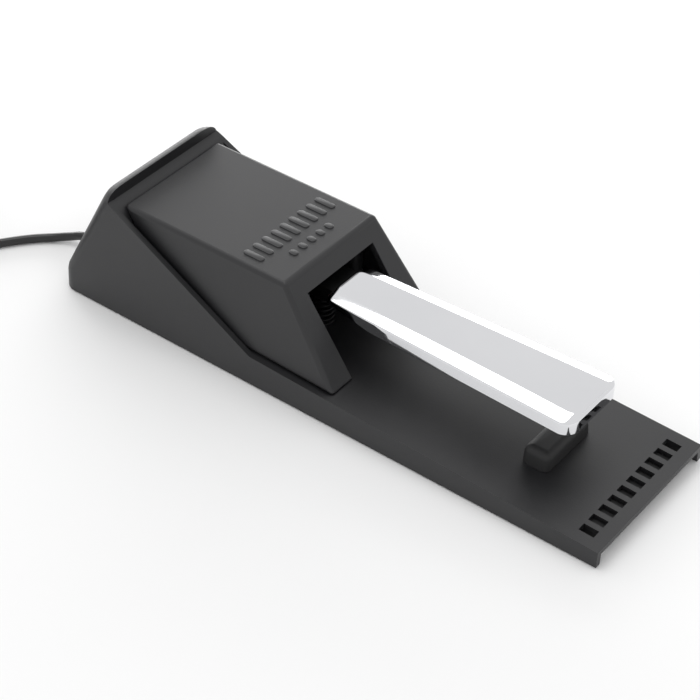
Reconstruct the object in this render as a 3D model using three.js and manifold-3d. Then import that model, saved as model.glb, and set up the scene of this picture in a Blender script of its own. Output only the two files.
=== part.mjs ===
// Sustain pedal for an electronic keyboard: a wedge-shaped case with a tray, a block cover over the
// mechanism, a chrome lever on a steel arm, a momentary switch and a lead with a 6.35 mm plug.
// Millimetres. +Z is up, the lever's tip points to -Y, the cord leaves at +Y, X runs across.
// The origin is on the floor, under the middle of the case.
import * as THREE from "three";
import { mergeVertices } from "three/addons/utils/BufferGeometryUtils.js";
import Module from "manifold-3d";

const wasm = await Module();
wasm.setup();

// ---------- driving dimensions ----------
const clear = 0.3; // gap kept between pieces that touch

// Case
const length = 270;
const width = 75; // across the side skirts at the floor
const sideDraft = 0.065; // each side leans in by this much per mm of height
const caseWall = 2.6;
const rimWall = 2.4;
const caseBase = 0.6; // lower edge of the case above the floor
const trayFront = 7.8; // height of the tray's top at its front edge
const traySlope = 0.0373;
const trayThick = 2.2;
const rimRun = 104; // from the back face to the start of the rims
const rimSlope = 0.52;
const ridgeRun = 28; // from the back face to the ridge's front edge
const ridgeProud = 5.5; // of the ridge above the block cover
const ridgeFlat = 3.5;
const crestRound = 5; // of the ridge's top towards the back
const rearRound = 7; // of the two rear corners, seen from above
const ridgeFaceSlope = 1.374;
const shoulder = 6; // of the ridge's two ends
const kneeHeight = 10;
const kneeRound = 8;

// Slots across the front of the tray
const slotCount = 10;
const slotPitch = 6.533;
const slotLong = 6.7;
const slotWide = 3.9;
const slotInset = 8.9;

// Block cover
const coverLintel = 7.35; // from the top of its mouth to its top
const coverInset = 2; // of each side from the case's side, both at the floor
const coverDraft = 0.12;
const coverWall = 2.4;
const coverFootRun = 144.4; // from the back face to the foot of its front
const coverTopRun = 117; // from the back face to its top front edge
const mouthGap = 3.95; // over the lever
const mouthJamb = 8.7; // width of the wall beside the mouth, at the cover's top
const coverPost = 3.5;

// Lever
const leverTop = 41.2; // height of the chrome surface
const tipInset = 27.5; // from the case's front edge to the lever's tip
const shellRearRun = 123.7; // from the back face to the rear end of the chrome
const shellTipWidth = 34.9;
const shellRearWidth = 26.5;
const shellHeight = 7.6;
const shellSheet = 1.5;
const shellSlope = 5.5; // width of the gentle slope along each side of its top
const shellDrop = 1.5; // height that the slope loses
const shellEnd = 1.4; // how far the level top stays from the tip and the rear
const shellTipCorner = 6;
const shellRearCorner = 4;
const taperLong = 23; // the side walls get lower over this length at the rear
const taperRise = 4;
const armWidth = 16;
const armWeb = 2;
const armFlange = 1.5;
const armTipInset = 9; // from the lever's tip to the arm's tip
const armTail = 14; // behind the pivot
const pivotGap = 16.2; // from the foot of the ridge's face to the pivot
const pivotDrop = 6.8; // from the chrome surface to the pivot axis
const axleRadius = 2.5;
const bushWall = 1.1;
const postWide = 5;
const postLong = 14;
const clipThick = 0.8;

// Return spring
const springAhead = 38; // from the pivot to the spring
const springRadius = 4.4; // to the middle of the wire
const wireRadius = 0.6;
const springTurns = 8;
const seatThick = 1;

// Stop bumper and rest pad
const bumperInset = 43; // from the case's front edge to its middle
const bumperWide = 31;
const bumperLong = 12;
const bumperHigh = 8;
const bumperRound = 2;
const restPadThick = 2;

// Switch
const switchLong = 20;
const switchWide = 6.4;
const switchHigh = 10.2;
const switchAhead = 18; // from the pivot to its middle
const leafAngle = THREE.MathUtils.degToRad(10);
const leafThick = 0.4;
const leafReach = 15; // from the leaf's hinge to where the actuator presses

// Underside
const plateSheet = 1.5;
const plateLift = 1.8;
const padThick = 1.5;
const padSide = 14;
const frontPadHalf = 27;
const screwShank = 1.2;

// Lead
const cordRadius = 1.9;
const glandX = -12;
const glandHeight = 6;
const glandNeck = 2.9;
const glandFlange = 3.7;
const bootLong = 8;
const tieThick = 0.5;
const turnPitch = 2 * cordRadius + 0.1; // between neighbouring turns of the coil
const coilColumns = 4;
const coilRows = 4;
const coilMiddle = 21.75; // radius at the middle of the turns
const coilCentre = [-55.4, 221.1];
const plugRadius = 5.4;
const plugShaft = 3.175;

// ---------- values that follow ----------
const openingTop = leverTop + mouthGap;
const coverTop = openingTop + coverLintel;
const coverFloorHalf = width / 2 - coverInset;
const coverHalf = coverFloorHalf - coverDraft * coverTop;
const openingHalf = coverHalf - mouthJamb;
const ridgeHeight = coverTop + ridgeProud;
const back = length / 2;
const front = -length / 2;
const trayTop = (y) => trayFront + traySlope * (y - front);
const rimStart = back - rimRun;
const ridgeY = back - ridgeRun;
const rimTop = trayTop(rimStart) + rimSlope * (ridgeY - rimStart);
const ridgeBack = ridgeY + ridgeFlat;
const ridgeFaceY = (z) => ridgeY - (ridgeHeight - z) / ridgeFaceSlope;
const ridgeFootY =
  (ridgeHeight - ridgeFaceSlope * ridgeY - trayFront + traySlope * front) /
  (traySlope - ridgeFaceSlope);
const caseHalf = (z) => width / 2 - sideDraft * z;
const coverFoot = back - coverFootRun;
const coverFront = back - coverTopRun;
const pivotY = ridgeFootY - pivotGap;
const pivotZ = leverTop - pivotDrop;
const tipY = front + tipInset;
const shellRearY = back - shellRearRun;
const shellBottom = leverTop - shellHeight;
const armTop = leverTop - shellSheet - clear;
const armBottom = shellBottom - 1;
const springY = pivotY - springAhead;
const bumperY = front + bumperInset;
const bushRadius = axleRadius + clear + bushWall;
const postIn = armWidth / 2 + 1;
const postOut = postIn + postWide;
const switchY = pivotY - switchAhead;
const switchBase = trayTop(switchY + switchLong / 2) + clear;
const switchTop = switchBase + switchHigh;
const leafHinge = [switchY + switchLong / 2 - 1.5, switchTop + 0.8];
const plateTop = plateLift + plateSheet;
const plateHalf = width / 2 - caseWall - 1;
const plateFront = front + 23;
const plateBack = back - 8;
const baseScrews = [plateFront + 7, (plateFront + plateBack) / 2, plateBack - 16];
const coverPosts = [back - 110, ridgeFootY - 6.6];
const coverPostX = coverHalf - 4.5;
const clampY = back - 15;
const clampReach = 7; // from the cord to each clamp screw

// ---------- solids and meshes ----------
function toSolid(geometry) {
  const bare = new THREE.BufferGeometry();
  bare.setAttribute("position", geometry.getAttribute("position").clone());
  if (geometry.index) bare.setIndex(geometry.index.clone());
  const merged = mergeVertices(bare, 1e-4);
  return new wasm.Manifold(
    new wasm.Mesh({
      numProp: 3,
      vertProperties: new Float32Array(merged.attributes.position.array),
      triVerts: new Uint32Array(merged.index.array),
    }),
  );
}

function toGeometry(solid) {
  const mesh = solid.getMesh();
  const geometry = new THREE.BufferGeometry();
  const positions = new Float32Array(mesh.vertProperties);
  geometry.setAttribute("position", new THREE.BufferAttribute(positions, 3));
  geometry.setIndex(new THREE.BufferAttribute(new Uint32Array(mesh.triVerts), 1));
  geometry.computeVertexNormals();
  return geometry;
}

const join = (first, ...others) => others.reduce((sum, s) => sum.add(s), first);
const cut = (first, ...others) => others.reduce((rest, s) => rest.subtract(s), first);

// A box from its lowest to its highest corner.
function box(low, high) {
  const size = high.map((value, i) => value - low[i]);
  const geometry = new THREE.BoxGeometry(...size);
  geometry.translate(...low.map((value, i) => value + size[i] / 2));
  return toSolid(geometry);
}

// A cylinder from one point to another.
function rod(from, to, radius, sides = 20, radiusTo = radius) {
  const start = new THREE.Vector3(...from);
  const end = new THREE.Vector3(...to);
  const along = end.clone().sub(start);
  const geometry = new THREE.CylinderGeometry(radiusTo, radius, along.length(), sides);
  geometry.translate(0, along.length() / 2, 0);
  const turn = new THREE.Quaternion();
  turn.setFromUnitVectors(new THREE.Vector3(0, 1, 0), along.clone().normalize());
  geometry.applyQuaternion(turn);
  geometry.translate(start.x, start.y, start.z);
  return toSolid(geometry);
}

// A turned piece: profile holds [radius, distance along the axis], axis starts at `from`.
function turned(profile, from, direction, sides = 20) {
  const points = profile.map(([r, s]) => new THREE.Vector2(r, s));
  const geometry = new THREE.LatheGeometry(points, sides);
  const turn = new THREE.Quaternion();
  const axis = new THREE.Vector3(...direction).normalize();
  turn.setFromUnitVectors(new THREE.Vector3(0, 1, 0), axis);
  geometry.applyQuaternion(turn);
  geometry.translate(...from);
  return facingOut(toSolid(geometry), geometry);
}

// A lathe profile run the other way round gives faces that point in; this turns them.
function facingOut(solid, geometry) {
  if (solid.volume() > 0) return solid;
  const index = geometry.index.array;
  for (let i = 0; i < index.length; i += 3) {
    [index[i + 1], index[i + 2]] = [index[i + 2], index[i + 1]];
  }
  return toSolid(geometry);
}

// Corners [a, b, radius] become arcs of that radius; corners without one stay sharp.
function rounded(corners, steps = 4) {
  const shape = [];
  corners.forEach(([a, b, radius], i) => {
    if (!radius) {
      shape.push([a, b]);
      return;
    }
    const corner = new THREE.Vector2(a, b);
    const before = new THREE.Vector2(...corners.at(i - 1).slice(0, 2)).sub(corner).normalize();
    const after = new THREE.Vector2(...corners[(i + 1) % corners.length].slice(0, 2));
    after.sub(corner).normalize();
    const half = before.angleTo(after) / 2;
    const middle = before.clone().add(after).normalize();
    const centre = corner.clone().addScaledVector(middle, radius / Math.sin(half));
    const start = corner.clone().addScaledVector(before, radius / Math.tan(half)).sub(centre);
    const end = corner.clone().addScaledVector(after, radius / Math.tan(half)).sub(centre);
    const sweep = Math.atan2(start.cross(end), start.dot(end));
    for (let k = 0; k <= steps; k++) {
      const point = start.clone().rotateAround(new THREE.Vector2(), (sweep * k) / steps);
      shape.push([centre.x + point.x, centre.y + point.y]);
    }
  });
  return shape;
}

// Moves each edge of an outline inwards by its own distance.
function inset(corners, distances) {
  const count = corners.length;
  const area = THREE.ShapeUtils.area(corners.map(([a, b]) => new THREE.Vector2(a, b)));
  const edges = corners.map((corner, i) => {
    const next = corners[(i + 1) % count];
    const along = new THREE.Vector2(next[0] - corner[0], next[1] - corner[1]).normalize();
    const inward = new THREE.Vector2(-along.y, along.x).multiplyScalar(Math.sign(area));
    const point = new THREE.Vector2(...corner).addScaledVector(inward, distances[i]);
    return { point, along };
  });
  return edges.map((edge, i) => {
    const previous = edges.at(i - 1);
    const gap = edge.point.clone().sub(previous.point);
    const t = gap.cross(edge.along) / previous.along.cross(edge.along);
    const corner = previous.point.clone().addScaledVector(previous.along, t);
    return [corner.x, corner.y];
  });
}

const shapeOf = (points) => new THREE.Shape(points.map(([a, b]) => new THREE.Vector2(a, b)));

// An outline in Y and Z, carried across X; each side leans in by `draft` per mm of height.
function sideways(points, halfAtFloor, draft = 0) {
  const geometry = new THREE.ExtrudeGeometry(shapeOf(points), { depth: 1, bevelEnabled: false });
  const place = geometry.getAttribute("position");
  for (let i = 0; i < place.count; i++) {
    const [y, z, side] = [place.getX(i), place.getY(i), place.getZ(i) * 2 - 1];
    place.setXYZ(i, side * (halfAtFloor - draft * z), y, z);
  }
  return toSolid(geometry);
}

// An outline in X and Z, carried along Y.
function lengthways(points, fromY, toY) {
  const depth = toY - fromY;
  const geometry = new THREE.ExtrudeGeometry(shapeOf(points), { depth, bevelEnabled: false });
  geometry.rotateX(Math.PI / 2);
  geometry.translate(0, toY, 0);
  return toSolid(geometry);
}

// An outline in X and Y, carried up, with its upper and lower edges rounded.
function upright(points, lowZ, highZ, round = 0) {
  const geometry = new THREE.ExtrudeGeometry(shapeOf(points), {
    depth: highZ - lowZ - 2 * round,
    bevelEnabled: round > 0,
    bevelThickness: round,
    bevelSize: round,
    bevelOffset: -round,
    bevelSegments: 3,
  });
  geometry.translate(0, 0, lowZ + round);
  return toSolid(geometry);
}

// A tube of round section along a smooth curve through the points.
function tube(points, radius, sides, steps) {
  const curve = new THREE.CatmullRomCurve3(points.map((p) => new THREE.Vector3(...p)));
  const ring = [];
  for (let i = 0; i < sides; i++) {
    const angle = (2 * Math.PI * i) / sides;
    ring.push([radius * Math.cos(angle), radius * Math.sin(angle)]);
  }
  const geometry = new THREE.ExtrudeGeometry(shapeOf(ring), { steps, extrudePath: curve });
  return toSolid(geometry);
}

// ---------- colours and finishes ----------
const finish = (color, roughness, metalness) =>
  new THREE.MeshStandardMaterial({ color, roughness, metalness });
const blackPlastic = finish(0x35353a, 0.6, 0);
const chrome = finish(0xdddde2, 0.08, 1);
const blackSteel = finish(0x1c1c1e, 0.45, 0.6);
const zincSteel = finish(0xb4b6b8, 0.35, 1);
const rubber = finish(0x1a1a1b, 0.85, 0);
const felt = finish(0x5a2a2c, 0.95, 0);
const nylon = finish(0xe6e2d6, 0.5, 0);
const switchBlack = finish(0x1e1e22, 0.4, 0);
const cordBlack = finish(0x161618, 0.5, 0);
const nickel = finish(0xcfcabb, 0.15, 1);
const wireRed = finish(0xa32a22, 0.5, 0);
const wireWhite = finish(0xe2e0da, 0.5, 0);

const pedal = new THREE.Group();

function add(name, solid, material) {
  const mesh = new THREE.Mesh(toGeometry(solid), material);
  mesh.name = name;
  pedal.add(mesh);
}

// ---------- case ----------
const caseProfile = [
  [front, caseBase],
  [front, trayTop(front)],
  [rimStart, trayTop(rimStart)],
  [ridgeY, rimTop],
  [ridgeY, ridgeHeight + 5],
  [back + 5, ridgeHeight + 5],
  [back + 5, caseBase],
];

// The back of the case in Y and Z, from the crest down, drawn in by `inward`.
function rearFace(inward) {
  const corners = [
    [front, ridgeHeight],
    [ridgeBack, ridgeHeight],
    [back, kneeHeight],
    [back, -10],
    [front, -10],
  ];
  const rounds = [0, crestRound - inward, kneeRound - inward, 0, 0];
  const moved = inset(corners, [inward, inward, inward, 0, 0]);
  return rounded(moved.map(([y, z], i) => (rounds[i] ? [y, z, rounds[i]] : [y, z])), 6).slice(1, -1);
}

// Where a line of points that runs downwards crosses a height.
function crossing(line, height) {
  const next = Math.max(1, line.findIndex(([, z]) => z <= height + 1e-6));
  const [[y0, z0], [y1, z1]] = [line[next - 1], line[next]];
  return y0 + ((y1 - y0) * (z0 - height)) / (z0 - z1);
}

// The case's body, drawn in by `inward`: its sides lean in, its rear corners are round from
// above, and its crest and the crest's two ends are round. It is the hull of level outlines.
function bodyLimit(inward) {
  const level = ridgeHeight - shoulder;
  const round = shoulder - inward;
  const half = (z) => {
    const up = THREE.MathUtils.clamp(z - level, 0, round);
    return caseHalf(Math.min(z, level)) - shoulder + Math.sqrt(round ** 2 - up ** 2);
  };
  const face = rearFace(inward);
  const heights = face.map(([, z]) => z);
  for (let k = 0; k < 6; k++) heights.push(level + round * Math.sin((k * Math.PI) / 12));
  const points = heights.flatMap((z) => {
    const y = crossing(face, z);
    const corner = rearRound - inward;
    const outline = rounded(
      [
        [-half(z), front - 10],
        [half(z), front - 10],
        [half(z), y, corner],
        [-half(z), y, corner],
      ],
      6,
    );
    return outline.map(([a, b]) => [a, b, z]);
  });
  return wasm.Manifold.hull(points);
}

// Under the tray and inside the ridge; it runs out through the open front.
function underHollow() {
  const reach = 12;
  const over = 30;
  const corners = [
    [front - reach, -reach],
    [front - reach, trayTop(front - reach)],
    [ridgeFootY, trayTop(ridgeFootY)],
    [ridgeFaceY(ridgeHeight + over), ridgeHeight + over],
    [back + over, ridgeHeight + over],
    [back + over, -reach],
  ];
  const walls = [0, trayThick, caseWall, 0, 0, 0];
  return sideways(inset(corners, walls), width).intersect(bodyLimit(caseWall));
}

// The space between the two rims, over the tray and in front of the ridge.
function well() {
  const over = 10;
  const outline = [
    [rimStart, trayTop(rimStart)],
    [ridgeFootY, trayTop(ridgeFootY)],
    [ridgeY, ridgeHeight],
    [ridgeFaceY(ridgeHeight + over), ridgeHeight + over],
    [rimStart, ridgeHeight + over],
  ];
  return sideways(outline, width / 2 - rimWall, sideDraft);
}

const screwPlaces = [];
for (const y of baseScrews) {
  for (const side of [-1, 1]) screwPlaces.push([side * (plateHalf - 5), y]);
}
const postPlaces = [];
for (const y of coverPosts) {
  for (const side of [-1, 1]) postPlaces.push([side * coverPostX, y]);
}
const stemX = bumperWide / 4;
const stemRadius = 2;
const wireHoleZ = trayTop(ridgeFootY) + 6;

// Screw bosses under the tray and inside the ridge.
function caseBosses() {
  const bosses = screwPlaces.map(([x, y]) =>
    rod([x, y, plateTop + clear], [x, y, ridgeHeight], 3.2, 16),
  );
  for (const side of [-1, 1]) {
    const x = glandX + side * clampReach;
    const low = glandHeight + cordRadius;
    bosses.push(rod([x, clampY, low], [x, clampY, ridgeHeight], 3, 16));
  }
  return join(...bosses);
}

// Holes for screws, stems, slots, the gland and the wires.
function caseHoles() {
  const holes = [];
  for (const [x, y] of screwPlaces) {
    const deep = Math.min(trayTop(y) - 1.2, plateTop + 8);
    holes.push(rod([x, y, 0], [x, y, deep], screwShank + clear, 12));
  }
  for (const side of [-1, 1]) {
    const x = glandX + side * clampReach;
    holes.push(rod([x, clampY, 0], [x, clampY, glandHeight + 12], screwShank + clear, 12));
    const stem = [side * stemX, bumperY];
    holes.push(rod([...stem, 0], [...stem, trayTop(bumperY) + 2], stemRadius + clear, 16));
  }
  for (const [x, y] of postPlaces) {
    holes.push(rod([x, y, 0], [x, y, trayTop(y) + 2], screwShank + clear, 12));
  }
  for (let i = 0; i < slotCount; i++) {
    const x = (i - (slotCount - 1) / 2) * slotPitch;
    const y = front + slotInset;
    const low = [x - slotWide / 2, y - slotLong / 2, 0];
    holes.push(box(low, [x + slotWide / 2, y + slotLong / 2, trayTop(y) + 2]));
  }
  const gland = [glandX, back, glandHeight];
  holes.push(rod([glandX, back - 6, glandHeight], gland.with(1, back + 1), glandNeck + clear, 24));
  holes.push(rod([0, ridgeFootY - 6, wireHoleZ], [0, ridgeFootY + 14, wireHoleZ], 2.6, 16));
  return join(...holes);
}

// Two posts on the tray hold the bushes, and a stub centres the spring.
function trayPosts() {
  const floor = trayTop(pivotY - postLong / 2) - 1;
  const posts = [-1, 1].map((side) => {
    const xs = [side * postIn, side * postOut].sort((a, b) => a - b);
    const low = [xs[0], pivotY - postLong / 2, floor];
    return box(low, [xs[1], pivotY + postLong / 2, pivotZ + bushRadius + 3]);
  });
  const reach = postOut + 1;
  const bore = rod([-reach, pivotY, pivotZ], [reach, pivotY, pivotZ], bushRadius + clear, 24);
  const stub = springRadius - wireRadius - clear;
  const base = trayTop(springY);
  return join(cut(join(...posts), bore), rod([0, springY, base - 1], [0, springY, base + 3.5], stub));
}

function lowerCase() {
  const outer = sideways(caseProfile, width).intersect(bodyLimit(0));
  const room = well();
  const shell = cut(outer, underHollow());
  const bosses = caseBosses().intersect(cut(outer, room));
  return cut(join(cut(join(shell, bosses), room), trayPosts()), caseHoles());
}

add("lower_case", lowerCase(), blackPlastic);

// ---------- block cover ----------
const coverRear = (z) => ridgeFaceY(z) - 1.4 * clear;
const coverRearFoot = ridgeFootY - 2 * clear;

function upperCover() {
  const outline = [
    [coverFoot, trayTop(coverFoot) + clear],
    [coverFront, coverTop],
    [coverRear(coverTop), coverTop],
    [coverRearFoot, trayTop(coverRearFoot) + clear],
  ];
  const outer = sideways(outline, coverFloorHalf, coverDraft);
  const deep = inset(outline, [coverWall, coverWall, coverWall, -20]);
  const inner = sideways(deep, coverFloorHalf - coverWall, coverDraft);
  const wallBehind = 2 * coverWall;
  const openingBack = coverFront + wallBehind;
  const low = [-openingHalf, coverFoot - 10, 0];
  const opening = box(low, [openingHalf, openingBack, openingTop]);
  const posts = postPlaces.map(([x, y]) => {
    const post = rod([x, y, trayTop(y) + 2 * clear], [x, y, coverTop - 1], coverPost, 16);
    return cut(post, rod([x, y, 0], [x, y, trayTop(y) + 15], screwShank + clear, 12));
  });
  const ribFoot = armTop + restPadThick + 2 * clear;
  const rib = box([-6, restY - 3, ribFoot], [6, restY + 3, coverTop - 1]);
  const inside = join(rib, ...posts).intersect(outer);
  const notchLow = [-notchHalf, coverRearFoot - 8, 0];
  const notch = box(notchLow, [notchHalf, coverRearFoot + 10, wireHoleZ + notchHalf]);
  return join(cut(outer, inner, opening, notch), inside);
}

const restY = springY + 8;
const notchHalf = 3.5; // for the wires, in the foot of the cover's rear wall
add("upper_cover", upperCover(), blackPlastic);
const padLow = [-6, restY - 3, armTop + clear];
add("rest_pad", box(padLow, [6, restY + 3, armTop + clear + restPadThick]), felt);

// ---------- lever ----------
// The shell's outline from above, narrower at the rear, drawn in by `side` and by `end`.
function shellOutline(side, end) {
  const tip = tipY + end;
  const rear = shellRearY - end;
  const slope = (shellTipWidth - shellRearWidth) / 2 / (shellRearY - tipY);
  const half = (y) => shellRearWidth / 2 + slope * (shellRearY - y) - side;
  return rounded([
    [-half(tip), tip, shellTipCorner - end],
    [half(tip), tip, shellTipCorner - end],
    [half(rear), rear, shellRearCorner - end],
    [-half(rear), rear, shellRearCorner - end],
  ]);
}

// A closed block of the shell's shape: plain sides, a gentle slope, then a level top.
function shellBlock(inward, low, top) {
  const layer = (side, end, z) => shellOutline(side, end).map(([x, y]) => [x, y, z]);
  return wasm.Manifold.hull([
    ...layer(inward, inward, low),
    ...layer(inward, inward, top - shellDrop - 0.3),
    ...layer(inward + 0.4, inward + 0.4, top - shellDrop),
    ...layer(shellSlope, shellEnd + inward, top),
  ]);
}

function leverShell() {
  const outer = shellBlock(0, shellBottom - 5, leverTop);
  const inner = shellBlock(shellSheet, shellBottom - 10, leverTop - shellSheet);
  const below = box([-width, front, 0], [width, back, shellBottom]);
  const taper = sideways(
    [
      [shellRearY - taperLong, shellBottom - 1],
      [shellRearY - taperLong, shellBottom],
      [shellRearY + 5, shellBottom + (taperRise * (taperLong + 5)) / taperLong],
      [shellRearY + 5, shellBottom - 1],
    ],
    width,
  );
  const gap = armWidth / 2 + clear;
  const rearGap = box([-gap, shellRearY - 5, 0], [gap, shellRearY + 1, armTop + clear]);
  const holes = shellScrewYs.map((y) => rod([0, y, armTop], [0, y, leverTop - 0.4], 0.9, 12));
  return cut(outer, inner, below, taper, rearGap, ...holes);
}

const shellScrewYs = [tipY + 25, shellRearY - 22];
add("lever_shell", leverShell(), chrome);

function leverArm() {
  const half = armWidth / 2;
  const tip = tipY + armTipInset;
  const tail = pivotY + armTail;
  const inner = half - armFlange;
  const bar = box([-half, tip, armBottom], [half, tail, armTop]);
  const channel = box([-inner, tip - 1, armBottom - 10], [inner, tail + 1, armTop - armWeb]);
  const ears = [-1, 1].map((side) => {
    const xs = [side * inner, side * half].sort((a, b) => a - b);
    const low = pivotZ - axleRadius - 3;
    return box([xs[0], pivotY - 7, low], [xs[1], pivotY + 7, armTop - armWeb]);
  });
  const lift = box([-width, tip - 1, 0], [width, shellRearY - taperLong, shellBottom + clear]);
  const bore = rod([-half - 1, pivotY, pivotZ], [half + 1, pivotY, pivotZ], axleRadius + clear, 24);
  const holes = shellScrewYs.map((y) => rod([0, y, 0], [0, y, armTop + 1], 1.7, 12));
  return cut(join(cut(bar, channel), ...ears), lift, bore, ...holes);
}

add("lever_arm", leverArm(), blackSteel);

// A pan-head screw: the head's flat side rests on `from`, the shank runs along `direction`.
function screw(from, direction, shankLong, headRadius = 2.5, headHigh = 1.3) {
  const profile = [
    [0, -headHigh],
    [headRadius * 0.7, -headHigh],
    [headRadius, -headHigh * 0.4],
    [headRadius, 0],
    [screwShank, 0],
    [screwShank, shankLong - 0.8],
    [0, shankLong],
  ];
  return turned(profile, from, direction, 14);
}

// The two screws come up through the arm into the roof of the shell.
shellScrewYs.forEach((y, i) => {
  const seat = armTop - armWeb - clear;
  const place = [0, y, seat];
  const profile = [
    [0, -1.3],
    [2.4, -1.3],
    [2.7, 0],
    [1.3, 0],
    [1.3, armWeb + clear],
    [0.6, armWeb + 2 * clear],
    [0.6, armWeb + 2 * clear + 0.8],
    [0, armWeb + 2 * clear + 0.8],
  ];
  const name = ["shell_screw_front", "shell_screw_rear"][i];
  add(name, turned(profile, place, [0, 0, 1], 14), zincSteel);
});

// ---------- pivot ----------
const axleHalf = postOut + clipThick + 2;
const axle = rod([-axleHalf, pivotY, pivotZ], [axleHalf, pivotY, pivotZ], axleRadius, 24);
add("pivot_axle", axle, zincSteel);

for (const [side, hand] of [
  [-1, "left"],
  [1, "right"],
]) {
  const bore = axleRadius + clear;
  const flange = bushRadius + 1.2;
  const inside = side * (postIn - clear);
  const outside = side * (postOut + clear);
  const tubeLong = postWide + clear;
  const profile = [
    [bore, 0],
    [bushRadius, 0],
    [bushRadius, tubeLong],
    [flange, tubeLong],
    [flange, tubeLong + 0.6],
    [bore, tubeLong + 0.6],
    [bore, 0],
  ];
  const bush = turned(profile, [inside + side * clear, pivotY, pivotZ], [side, 0, 0], 24);
  add("bush_" + hand, bush, nylon);
  const clipFrom = outside + side * (0.6 + clear);
  const clipProfile = [
    [bore, 0],
    [bore + 1.8, 0],
    [bore + 1.8, clipThick],
    [bore, clipThick],
    [bore, 0],
  ];
  add("clip_" + hand, turned(clipProfile, [clipFrom, pivotY, pivotZ], [side, 0, 0], 20), zincSteel);
}

// ---------- return spring ----------
const seatTop = armTop - armWeb - clear;
const springLow = trayTop(springY) + clear + wireRadius;
const springHigh = seatTop - seatThick - clear - wireRadius;

function returnSpring() {
  const perTurn = 10;
  const count = springTurns * perTurn;
  const points = [];
  for (let i = 0; i <= count; i++) {
    const angle = (2 * Math.PI * i) / perTurn;
    const z = springLow + ((springHigh - springLow) * i) / count;
    const x = springRadius * Math.cos(angle);
    points.push([x, springY + springRadius * Math.sin(angle), z]);
  }
  return tube(points, wireRadius, 6, count);
}

add("return_spring", returnSpring(), blackSteel);
const seatStub = springRadius - wireRadius - clear;
const seatProfile = [
  [0, 0],
  [armWidth / 2 - armFlange - clear, 0],
  [armWidth / 2 - armFlange - clear, seatThick],
  [seatStub, seatThick],
  [seatStub, seatThick + 3],
  [0, seatThick + 3],
];
add("spring_seat", turned(seatProfile, [0, springY, seatTop], [0, 0, -1], 20), nylon);

// ---------- stop bumper ----------
function stopBumper() {
  const half = bumperWide / 2;
  const low = trayTop(bumperY + bumperLong / 2) + clear;
  const outline = [
    [-half, low],
    [half, low],
    [half, trayTop(bumperY) + bumperHigh, bumperRound],
    [-half, trayTop(bumperY) + bumperHigh, bumperRound],
  ];
  const from = bumperY - bumperLong / 2;
  const block = lengthways(rounded(outline), from, from + bumperLong);
  const stems = [-1, 1].map((side) => {
    const x = side * stemX;
    return rod([x, bumperY, plateTop + clear], [x, bumperY, low + 1], stemRadius, 16);
  });
  return join(block, ...stems);
}

add("stop_bumper", stopBumper(), rubber);

// ---------- switch ----------
const screwLine = switchBase + 3.2;
const screwYs = [switchY - 6, switchY + 6];
const halfSwitch = switchWide / 2;

function switchBody() {
  const low = [-halfSwitch, switchY - switchLong / 2, switchBase];
  const body = box(low, [halfSwitch, switchY + switchLong / 2, switchTop]);
  const holes = screwYs.map((y) =>
    rod([-halfSwitch - 1, y, screwLine], [halfSwitch + 1, y, screwLine], screwShank + clear, 12),
  );
  const well = rod(
    [0, plungerY, switchTop - 3],
    [0, plungerY, switchTop + 1],
    plungerRadius + clear,
    12,
  );
  return cut(body, ...holes, well);
}

const plungerRadius = 1.1;
const plungerY = leafHinge[0] - 7;
const leafUnder = leafHinge[1] + 7 * Math.tan(leafAngle) - leafThick;
add("switch_body", switchBody(), switchBlack);
const plungerFrom = [0, plungerY, switchTop - 3 + 1.6];
add("switch_plunger", rod(plungerFrom, [0, plungerY, leafUnder - clear], plungerRadius, 12), nylon);

function switchLeaf() {
  const reach = leafReach + 3;
  const leaf = box([-2.2, -reach, -leafThick / 2], [2.2, 0, leafThick / 2]);
  const knuckle = rod([-2.2, 0, 0], [2.2, 0, 0], 0.45, 10);
  const turnedLeaf = join(leaf, knuckle).rotate([(-leafAngle * 180) / Math.PI, 0, 0]);
  return turnedLeaf.translate([0, ...leafHinge]);
}

add("switch_leaf", switchLeaf(), zincSteel);

const pressY = leafHinge[0] - leafReach;
const pressZ = leafHinge[1] + leafReach * Math.tan(leafAngle) + leafThick / 2 + clear;

function actuator() {
  const top = armTop - armWeb - clear;
  const stem = box([-3, pressY - 3, pressZ + 2], [3, pressY + 3, top]);
  const nose = rod([-3, pressY, pressZ + 2], [3, pressY, pressZ + 2], 2, 16);
  return join(stem, nose);
}

add("switch_actuator", actuator(), nylon);

const terminalZ = switchBase + 4.5;
const terminalFrom = switchY + switchLong / 2 + clear;
for (const [name, x] of [
  ["terminal_common", -1.7],
  ["terminal_contact", 1.7],
]) {
  const low = [x - 0.9, terminalFrom, terminalZ - 0.3];
  add(name, box(low, [x + 0.9, terminalFrom + 4, terminalZ + 0.3]), nickel);
}

// An upright plate beside the switch with a foot screwed to the tray.
const bracketSheet = 1.2;
const bracketX = halfSwitch + clear;
const footTop = switchBase + bracketSheet;
const bracketFootX = bracketX + 6;

function switchBracket() {
  const from = switchY - 9;
  const to = switchY + 9;
  const plate = box([bracketX, from, switchBase], [bracketX + bracketSheet, to, switchTop - 2]);
  const foot = box([bracketX, from, switchBase], [bracketX + 10, from + 9, footTop]);
  const holes = screwYs.map((y) =>
    rod([0, y, screwLine], [bracketX + 4, y, screwLine], screwShank + clear, 12),
  );
  const footHole = [bracketFootX, from + 4.5];
  holes.push(rod([...footHole, 0], [...footHole, footTop + 1], screwShank + clear, 12));
  return cut(join(plate, foot), ...holes);
}

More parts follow.
